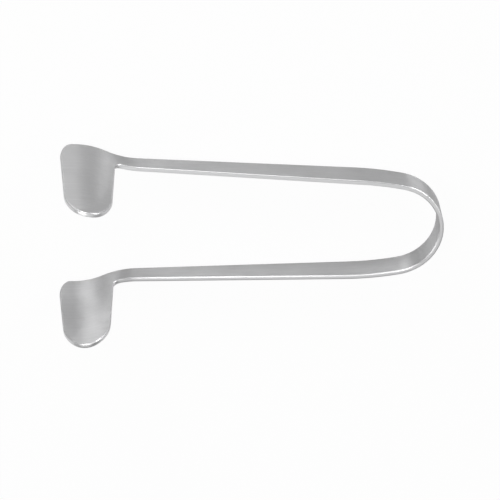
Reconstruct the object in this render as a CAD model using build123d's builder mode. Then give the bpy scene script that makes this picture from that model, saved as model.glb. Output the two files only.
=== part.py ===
from build123d import *
import os
from math import acos, cos, degrees, radians, sin

# Nasal speculum of the one-piece spring kind: a single stainless strip is bent into a bow,
# and each free end is formed into a wide, shallow trough that stands square to the bow.
# Lengths are in millimetres, angles in degrees.
# X runs along the arms from the blades to the bow, Y runs across the gap between the
# blades, and Z is up, from the edge that the strip lies on to the tips of the blades.

# Strip, with its outer edges rounded and its inner edges only broken
strip_thickness = 1.0
outer_edge_radius = 0.35
inner_edge_break = 0.2

# Bow and arms, measured on the middle line of the strip
bow_radius = 10.2
flank_radius = 68.0
flank_turn = 8.7
arm_splay = 2.3
arm_length = 44.9

# Height of the strip, at the shoulder and round the bow
shoulder_height = 4.2
bow_height = 6.3
taper_end_radius = 60.0

# Shoulder, where the strip is set outwards and opens into the blade
shoulder_radius = 17.5
shoulder_run = 4.8
set_out = 3.2
inner_corner_radius = 1.4

# Trough section of a blade at its root and at its tip
root_trough_radius = 14.5
tip_trough_radius = 18.8
tip_trough_angle = 14.0
toe_in = 0.95

# Side outline of a blade
blade_height = 28.4
blade_root_width = 11.3
blade_side_taper = 0.75
tip_length = 7.8
root_corner_run = 2.2
root_corner_height = 5.8

# Handle length that brings a cubic curve close to a quarter of an ellipse
quarter_handle = 0.5523

# The blades start to change their section just above the strip
forming_height = bow_height + 0.2
forming_steps = 6
trim = 1.0


def run(radius, from_angle, to_angle):
    """Length along X of an arc between two headings."""
    return radius * (sin(radians(to_angle)) - sin(radians(from_angle)))


def drop(radius, from_angle, to_angle):
    """Length along Y of an arc between two headings."""
    return radius * (cos(radians(from_angle)) - cos(radians(to_angle)))


# The bow turns the strip through what the flank leaves of the way round to the arm
bow_turn = 90 - flank_turn - arm_splay

# Lengths along X, from the back of the bow to the free edge of the blades
bow_run = bow_radius * (1 - cos(radians(bow_turn)))
flank_run = run(flank_radius, arm_splay, arm_splay + flank_turn)
arm_run = arm_length * cos(radians(arm_splay))
overall_length = strip_thickness / 2 + bow_run + flank_run + arm_run + shoulder_run + blade_root_width

# Places along X, with the origin halfway along the whole
back_x = overall_length / 2
apex_x = back_x - strip_thickness / 2
arm_start_x = apex_x - bow_run - flank_run
shoulder_x = arm_start_x - arm_run
arm_side_x = shoulder_x - shoulder_run
free_side_x = arm_side_x - blade_root_width
blade_middle_x = (free_side_x + arm_side_x) / 2

# Places across the gap, on the middle line of the strip
arm_start_y = bow_radius * sin(radians(bow_turn)) + drop(flank_radius, arm_splay, arm_splay + flank_turn)
shoulder_y = arm_start_y + arm_length * sin(radians(arm_splay))
wing_y = shoulder_y + set_out

# The trough's bend runs straight into the shoulder's, so the set-out gives the slope where they meet
bend_height = root_trough_radius + shoulder_radius * cos(radians(arm_splay)) - set_out
root_trough_angle = degrees(acos(bend_height / (root_trough_radius + shoulder_radius)))
trough_x = shoulder_x - run(shoulder_radius, arm_splay, root_trough_angle)
trough_x -= run(root_trough_radius, 0, root_trough_angle)


def blade_section(height, forming):
    """Blade's section at a height, where forming goes from 0 at the root to 1 at the tip."""
    radius = root_trough_radius + (tip_trough_radius - root_trough_radius) * forming
    angle = root_trough_angle + (tip_trough_angle - root_trough_angle) * forming
    start_y = wing_y - toe_in * forming
    with BuildSketch(Plane.XY.offset(height)) as section:
        with BuildLine():
            wing = Line((free_side_x - trim, start_y), (trough_x, start_y))
            trough = JernArc(wing @ 1, wing % 1, radius, -angle)
            JernArc(trough @ 1, trough % 1, shoulder_radius, angle - arm_splay)
        trace(line_width=strip_thickness)
    return section.sketch


def is_rim(face):
    """True for a face of the outline, which lies along Y all over."""
    shares = (0.15, 0.5, 0.85)
    return all(abs(face.normal_at(u, v).Y) < 0.0001 for u in shares for v in shares)


def faces_outwards(wall):
    """True for a wall that faces away from the gap between the arms."""
    normal = wall.normal_at(0.5, 0.5)
    return normal.X + normal.Y * wall.center().Y > 0


def edges_of_outline(half, outer):
    """Edges where the outline meets the outer walls of the half strip, or the inner ones."""
    rims = half.faces().filter_by(is_rim)
    joint, *walls = half.faces().filter_by(is_rim, reverse=True).sort_by(Axis.Y)
    wall_edges = ShapeList(walls).filter_by(faces_outwards, reverse=not outer).edges()
    return rims.edges().filter_by(lambda edge: edge in wall_edges)


with BuildPart() as nasal_speculum:
    # Half of the bow and one arm, as an upright band
    with BuildSketch() as band:
        with BuildLine():
            bow = JernArc((apex_x, 0), (0, 1), bow_radius, bow_turn)
            flank = JernArc(bow @ 1, bow % 1, flank_radius, flank_turn)
            Line(flank @ 1, flank @ 1 + (flank % 1) * arm_length)
        trace(line_width=strip_thickness)
    extrude(amount=bow_height)

    # Shoulder and root of the blade, straight up from the same edge
    add(blade_section(0, 0))
    extrude(amount=forming_height)

    # Upper part of the blade, whose trough flattens and leans inwards
    for step in range(forming_steps):
        share = step / (forming_steps - 1)
        ease = share * share * (3 - 2 * share)
        add(blade_section(forming_height + (blade_height + trim - forming_height) * share, ease))
    loft()

    # Cut to the outline of the strip, seen across the gap
    with BuildSketch(Plane.XZ) as outline:
        with BuildLine():
            side_top = blade_height - tip_length
            free_low = Vector(free_side_x, root_corner_height)
            free_high = Vector(free_side_x + blade_side_taper, side_top)
            arm_high = Vector(arm_side_x - blade_side_taper, side_top)
            arm_low = Vector(arm_side_x, shoulder_height)
            tip = Vector(blade_middle_x, blade_height)
            handle = (free_high - free_low).normalized() * tip_length * quarter_handle
            spread = Vector((arm_high - free_high).X / 2 * quarter_handle, 0)
            Line(free_low, free_high)
            Bezier(free_high, free_high + handle, tip - spread, tip)
            handle = (arm_high - arm_low).normalized() * tip_length * quarter_handle
            Bezier(tip, tip + spread, arm_high + handle, arm_high)
            side = Line(arm_high, arm_low)
            taper = Line(arm_low, (arm_start_x, bow_height))
            level = Line(taper @ 1, (back_x + trim, bow_height))
            end = Line(level @ 1, (back_x + trim, 0))
            base = Line(end @ 1, (free_side_x + root_corner_run, 0))
            start = Vector(0, root_corner_height * quarter_handle)
            run_in = Vector(root_corner_run * quarter_handle, 0)
            Bezier(base @ 1, base @ 1 - run_in, free_low - start, free_low)
        make_face()
        fillet(outline.vertices().sort_by_distance(side @ 1)[0], inner_corner_radius)
        fillet(outline.vertices().sort_by_distance(taper @ 1)[0], taper_end_radius)
    extrude(amount=wing_y + strip_thickness, both=True, mode=Mode.INTERSECT)

    # The edges of the strip finished all the way round, apart from those of the cut at the
    # back of the bow, where the other half joins on
    fillet(edges_of_outline(nasal_speculum, outer=True), outer_edge_radius)
    chamfer(edges_of_outline(nasal_speculum, outer=False), inner_edge_break)
    mirror(about=Plane.XZ)

nasal_speculum.part.label = "nasal_speculum"

os.makedirs("parts", exist_ok=True)
export_step(nasal_speculum.part, "parts/nasal_speculum.step")
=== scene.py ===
import math

import bmesh
import bpy
from mathutils import Matrix, Vector


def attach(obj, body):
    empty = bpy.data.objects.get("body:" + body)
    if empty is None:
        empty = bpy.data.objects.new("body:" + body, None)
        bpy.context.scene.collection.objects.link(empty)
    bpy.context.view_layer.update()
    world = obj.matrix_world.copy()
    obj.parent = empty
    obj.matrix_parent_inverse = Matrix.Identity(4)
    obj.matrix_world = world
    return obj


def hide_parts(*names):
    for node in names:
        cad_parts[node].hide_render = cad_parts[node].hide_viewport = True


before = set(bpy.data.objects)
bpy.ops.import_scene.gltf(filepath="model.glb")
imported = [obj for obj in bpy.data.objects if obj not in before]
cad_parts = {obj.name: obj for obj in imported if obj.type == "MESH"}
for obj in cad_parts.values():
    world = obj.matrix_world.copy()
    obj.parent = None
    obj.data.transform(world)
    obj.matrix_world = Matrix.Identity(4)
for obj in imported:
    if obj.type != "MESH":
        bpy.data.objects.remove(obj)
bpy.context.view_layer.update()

# Lengths are in metres and angles in radians. The speculum lies on the floor on the edge of
# its strip, with its blades standing up. The camera looks down on it from the +Y side, so
# that the blades point down in the picture.
MM = 0.001

# Camera, fitted to the photograph: the pixel where the middle of the arms falls, the size
# of a pixel there, and the three turns that bring the part into the picture's axes
FRAME_PIXELS = 500
PIXEL = 0.2097 * MM
ARMS_MIDDLE = Vector((1.31 * MM, 0, 0))
ARMS_MIDDLE_PIXEL = (257.3, 215.9)
CAMERA_DISTANCE = 0.60
NEAREST_SEEN = 0.01
FARTHEST_SEEN = 20
CAMERA_TURN = math.radians(4.22)
CAMERA_TILT = math.radians(28.64)
CAMERA_ROLL = math.radians(2.26)

# Mesh clean-up
MERGE_DISTANCE = 0.001 * MM
SHARP_ANGLE = math.radians(30)

# Satin finish of the walls. Its tone runs between two shares of the steel's colour.
STEEL_COLOUR = (0.54, 0.54, 0.545)
STEEL_ROUGHNESS = 0.38
STEEL_ANISOTROPY = 0.93
QUARTER_TURN = 0.25
DARKEST_TONE = 0.8
LIGHTEST_TONE = 1.2
RELIEF_STRENGTH = 0.25
RELIEF_HEIGHT = 0.004 * MM

# Noises of the satin finish, as scale and detail. The grain and the streaks are stretched
# along the strip, where one unit is a grain's length and width.
GRAIN_LENGTH = 9 * MM
GRAIN_WIDTH = 0.12 * MM
GRAIN = (1.0, 3.0)
STREAKS = (0.2, 3.0)
SPECKLE = (9000.0, 2.0)
CLOUD = (130.0, 4.0)

# How much of each noise goes into the tone, the roughness and the relief
NOISE_MIDDLE = 0.5
CLOUD_IN_TONE = 0.6
STREAKS_IN_TONE = 0.4
GRAIN_IN_TONE = 0.6
GRAIN_IN_ROUGHNESS = 0.15
STREAKS_IN_ROUGHNESS = 0.08
CLOUD_IN_ROUGHNESS = 0.08
GRAIN_IN_RELIEF = 0.6
SPECKLE_IN_RELIEF = 0.4

# Polished finish of the edges, with a colour lighter than steel's that paints in their
# highlight.
# It fades in between two shares of an axis: while the surface turns up from the walls, and on
# the blades while it turns away from the gap.
EDGE_POLISH_AND_HIGHLIGHT_COLOUR = (0.76, 0.76, 0.765)
EDGE_ROUGHNESS = 0.35
EDGE_UPWARDS = (0.3, 0.7)
EDGE_ACROSS = (0.6, 0.35)
BLADE_STARTS = (-26 * MM, -27 * MM)

# Floor and room. The shares say how much plain white is seen instead of the lit surface.
WHITE = (1, 1, 1, 1)
FLOOR_SIZE = 3.0
FLOOR_COLOUR = (0.88, 0.88, 0.88)
FLOOR_WHITE_TO_CAMERA = 0.96
ROOM_WHITE_TO_CAMERA = 1.0
WHITE_SEEN_MIRRORED = 0.24
ROOM_LIGHT = 0.05

# Softboxes: name, direction from the part, distance, width and height, and power in watts.
# The low ones in front draw the bands on the blades, and the overhead one whitens the edges.
SOFTBOXES = [
    ("front_left", (-0.33, 0.908, 0.259), 0.7, (0.25, 0.25), 1.85),
    ("front_low", (-0.03, 0.966, 0.259), 0.7, (0.2, 0.2), 0.55),
    ("front_right", (0.67, 0.66, 0.259), 0.7, (0.35, 0.3), 1.75),
    ("overhead", (0.0, -0.15, 0.99), 0.8, (1.1, 0.9), 1.7),
    ("right", (0.85, 0.0, 0.53), 0.7, (0.3, 0.3), 0.5),
    ("left", (-0.542, 0.3, 0.75), 0.7, (0.5, 0.3), 0.2),
    ("far_left", (-0.7, -0.05, 0.71), 0.7, (0.4, 0.6), 2.1),
]


class Value:
    """One output socket of a shader, on which Python's operators add Math nodes."""

    def __init__(self, shader, socket):
        self.shader = shader
        self.socket = socket

    def _maths(self, operation, first, second):
        return self.shader.add("ShaderNodeMath", {"operation": operation}, {0: first, 1: second})

    def __add__(self, other):
        return self._maths("ADD", self, other)

    def __radd__(self, other):
        return self._maths("ADD", other, self)

    def __sub__(self, other):
        return self._maths("SUBTRACT", self, other)

    def __rsub__(self, other):
        return self._maths("SUBTRACT", other, self)

    def __mul__(self, other):
        return self._maths("MULTIPLY", self, other)

    def __rmul__(self, other):
        return self._maths("MULTIPLY", other, self)


class Shader:
    """A node tree being built."""

    def __init__(self, owner):
        owner.use_nodes = True
        self.nodes = owner.node_tree.nodes
        self.links = owner.node_tree.links
        self.nodes.clear()

    def add(self, kind, settings=None, sockets=None, output=0):
        """Adds a node with its settings, then the values or links of its sockets."""
        node = self.nodes.new(kind)
        for name, setting in (settings or {}).items():
            setattr(node, name, setting)
        for name, value in (sockets or {}).items():
            if isinstance(value, Value):
                self.links.new(value.socket, node.inputs[name])
            else:
                node.inputs[name].default_value = value
        return Value(self, node.outputs[output]) if node.outputs else None

    def noise(self, place, look):
        scale, detail = look
        return self.add(
            "ShaderNodeTexNoise", {}, {"Vector": place, "Scale": scale, "Detail": detail},
        )

    def part_along(self, vector, axis):
        return self.add("ShaderNodeSeparateXYZ", {}, {"Vector": vector}, output=axis)

    def share_of_axis(self, direction, axis):
        """How far a direction lies along an axis, either way, from 0 to 1."""
        part = self.part_along(direction, axis)
        return self.add("ShaderNodeMath", {"operation": "ABSOLUTE"}, {0: part})

    def larger(self, first, second):
        return self.add("ShaderNodeMath", {"operation": "MAXIMUM"}, {0: first, 1: second})

    def ramp(self, value, ends):
        """Rises from 0 to 1 while the value goes from the first end to the second."""
        start, end = ends
        return self.add(
            "ShaderNodeMapRange", {}, {"Value": value, "From Min": start, "From Max": end},
        )

    def mixed_colour(self, factor, first, second):
        return self.add(
            "ShaderNodeMix", {"data_type": "RGBA"}, {0: factor, 6: first, 7: second}, output=2,
        )


def opaque(colour, share=1):
    """A share of a colour, with the alpha that a node's socket takes."""
    return tuple(share * part for part in colour) + (1,)


def satin_steel():
    """Stainless steel with a fine satin grain along the strip, and polished edges painted
    lighter as a highlight.
    """
    material = bpy.data.materials.new("satin_steel")
    shader = Shader(material)
    place = shader.add("ShaderNodeTexCoord", output="Object")
    along = shader.add(
        "ShaderNodeMapping", {},
        {"Vector": place, "Scale": (1 / GRAIN_LENGTH, 1 / GRAIN_WIDTH, 1 / GRAIN_WIDTH)},
    )
    grain = shader.noise(along, GRAIN)
    streaks = shader.noise(along, STREAKS)
    speckle = shader.noise(place, SPECKLE)
    cloud = shader.noise(place, CLOUD)

    # The walls of the strip stand upright, and the walls of a blade also face across the gap.
    # Whatever faces another way is the polished edge, with its painted highlight.
    direction = shader.add("ShaderNodeTexCoord", output="Normal")
    turned_up = shader.ramp(shader.share_of_axis(direction, "Z"), EDGE_UPWARDS)
    turned_aside = shader.ramp(shader.share_of_axis(direction, "Y"), EDGE_ACROSS)
    on_blade = shader.ramp(shader.part_along(place, "X"), BLADE_STARTS)
    edge_polish_and_highlight = shader.larger(turned_up, on_blade * turned_aside)

    cloud_swing = cloud - NOISE_MIDDLE
    streak_swing = streaks - NOISE_MIDDLE
    grain_swing = grain - NOISE_MIDDLE
    lightness = NOISE_MIDDLE + CLOUD_IN_TONE * cloud_swing + STREAKS_IN_TONE * streak_swing
    lightness += GRAIN_IN_TONE * grain_swing
    tone = shader.mixed_colour(
        lightness, opaque(STEEL_COLOUR, DARKEST_TONE), opaque(STEEL_COLOUR, LIGHTEST_TONE),
    )
    roughness = STEEL_ROUGHNESS + GRAIN_IN_ROUGHNESS * grain_swing
    roughness += STREAKS_IN_ROUGHNESS * streak_swing + CLOUD_IN_ROUGHNESS * cloud_swing
    height = GRAIN_IN_RELIEF * grain + SPECKLE_IN_RELIEF * speckle
    relief = shader.add(
        "ShaderNodeBump", {},
        {"Strength": RELIEF_STRENGTH, "Distance": RELIEF_HEIGHT, "Height": height},
    )
    satin = shader.add(
        "ShaderNodeBsdfPrincipled", {},
        {
            "Base Color": tone, "Metallic": 1.0, "Roughness": roughness, "Normal": relief,
            "Anisotropic": STEEL_ANISOTROPY, "Anisotropic Rotation": QUARTER_TURN,
        },
    )
    # Polished edge: its colour, lighter than steel's, paints in the highlight along the edges
    polish_with_painted_highlight = shader.add(
        "ShaderNodeBsdfPrincipled", {},
        {"Base Color": opaque(EDGE_POLISH_AND_HIGHLIGHT_COLOUR), "Metallic": 1.0, "Roughness": EDGE_ROUGHNESS},
    )
    surface = shader.add("ShaderNodeMixShader", {}, {0: edge_polish_and_highlight, 1: satin, 2: polish_with_painted_highlight})
    shader.add("ShaderNodeOutputMaterial", {}, {"Surface": surface})
    return material


def finished_speculum():
    """The CAD strip with its triangles joined, shaded smoothly round its edges."""
    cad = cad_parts["nasal_speculum"]
    mesh = cad.data.copy()
    shape = bmesh.new()
    shape.from_mesh(mesh)
    bmesh.ops.remove_doubles(shape, verts=shape.verts, dist=MERGE_DISTANCE)
    for face in shape.faces:
        face.smooth = True
    for edge in shape.edges:
        edge.smooth = edge.calc_face_angle(math.pi) < SHARP_ANGLE
    shape.to_mesh(mesh)
    shape.free()
    speculum = bpy.data.objects.new("satin_speculum", mesh)
    bpy.context.scene.collection.objects.link(speculum)
    normals = speculum.modifiers.new("even_normals", "WEIGHTED_NORMAL")
    normals.mode = "FACE_AREA_WITH_ANGLE"
    normals.keep_sharp = True
    mesh.materials.clear()
    mesh.materials.append(satin_steel())
    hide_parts("nasal_speculum")
    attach(speculum, "root")


def share_of_white(shader, to_camera):
    """How much plain white a ray sees: one share from the camera, another by way of metal."""
    camera = shader.add("ShaderNodeLightPath", output="Is Camera Ray")
    glossy = shader.add("ShaderNodeLightPath", output="Is Glossy Ray")
    transmission = shader.add("ShaderNodeLightPath", output="Is Transmission Ray")
    return to_camera * camera + WHITE_SEEN_MIRRORED * (glossy + transmission)


def white_floor():
    """Pale floor that the camera sees as white, apart from the soft shadow on it."""
    shape = bmesh.new()
    bmesh.ops.create_grid(shape, x_segments=1, y_segments=1, size=FLOOR_SIZE / 2)
    mesh = bpy.data.meshes.new("floor")
    shape.to_mesh(mesh)
    shape.free()
    floor = bpy.data.objects.new("floor", mesh)
    bpy.context.scene.collection.objects.link(floor)
    material = bpy.data.materials.new("floor")
    shader = Shader(material)
    lit = shader.add("ShaderNodeBsdfDiffuse", {}, {"Color": opaque(FLOOR_COLOUR)})
    white = shader.add("ShaderNodeEmission", {}, {"Color": WHITE, "Strength": 1.0})
    share = share_of_white(shader, FLOOR_WHITE_TO_CAMERA)
    surface = shader.add("ShaderNodeMixShader", {}, {0: share, 1: lit, 2: white})
    shader.add("ShaderNodeOutputMaterial", {}, {"Surface": surface})
    mesh.materials.append(material)


def studio_room():
    """Weak even light from the room, which the camera sees as white."""
    world = bpy.data.worlds.new("studio")
    bpy.context.scene.world = world
    shader = Shader(world)
    room = shader.add("ShaderNodeBackground", {}, {"Color": WHITE, "Strength": ROOM_LIGHT})
    white = shader.add("ShaderNodeBackground", {}, {"Color": WHITE, "Strength": 1.0})
    share = share_of_white(shader, ROOM_WHITE_TO_CAMERA)
    surface = shader.add("ShaderNodeMixShader", {}, {0: share, 1: room, 2: white})
    shader.add("ShaderNodeOutputWorld", {}, {"Surface": surface})


def softbox(name, direction, distance, size, power):
    """Area lamp in a direction from the part, facing it."""
    lamp = bpy.data.lights.new(name, "AREA")
    lamp.shape = "RECTANGLE"
    lamp.size, lamp.size_y = size
    lamp.energy = power
    box = bpy.data.objects.new(name, lamp)
    place = Vector(direction).normalized() * distance
    facing = place.to_track_quat("Z", "Y").to_matrix().to_4x4()
    box.matrix_world = Matrix.Translation(place) @ facing
    bpy.context.scene.collection.objects.link(box)


def photograph_camera():
    """Camera at the photograph's angle, looking down on the strip's upper edge."""
    turn_cos, turn_sin = math.cos(CAMERA_TURN), math.sin(CAMERA_TURN)
    tilt_cos, tilt_sin = math.cos(CAMERA_TILT), math.sin(CAMERA_TILT)
    roll_cos, roll_sin = math.cos(CAMERA_ROLL), math.sin(CAMERA_ROLL)
    level_right = Vector((turn_cos, 0, turn_sin))
    level_up = Vector((turn_sin * tilt_sin, tilt_cos, -turn_cos * tilt_sin))
    right = roll_cos * level_right + roll_sin * level_up
    up = roll_cos * level_up - roll_sin * level_right
    back = right.cross(up)
    middle = FRAME_PIXELS / 2
    aim = ARMS_MIDDLE + right * (middle - ARMS_MIDDLE_PIXEL[0]) * PIXEL
    aim -= up * (middle - ARMS_MIDDLE_PIXEL[1]) * PIXEL
    place = aim + back * CAMERA_DISTANCE
    lens = bpy.data.cameras.new("photograph")
    lens.lens = lens.sensor_width * CAMERA_DISTANCE / (PIXEL * FRAME_PIXELS)
    lens.clip_start = NEAREST_SEEN
    lens.clip_end = FARTHEST_SEEN
    camera = bpy.data.objects.new("photograph", lens)
    camera.matrix_world = Matrix((
        (right.x, up.x, back.x, place.x),
        (right.y, up.y, back.y, place.y),
        (right.z, up.z, back.z, place.z),
        (0, 0, 0, 1),
    ))
    bpy.context.scene.collection.objects.link(camera)
    bpy.context.scene.camera = camera


finished_speculum()
white_floor()
studio_room()
for name, direction, distance, size, power in SOFTBOXES:
    softbox(name, direction, distance, size, power)
photograph_camera()
bpy.context.scene.view_settings.view_transform = "Standard"
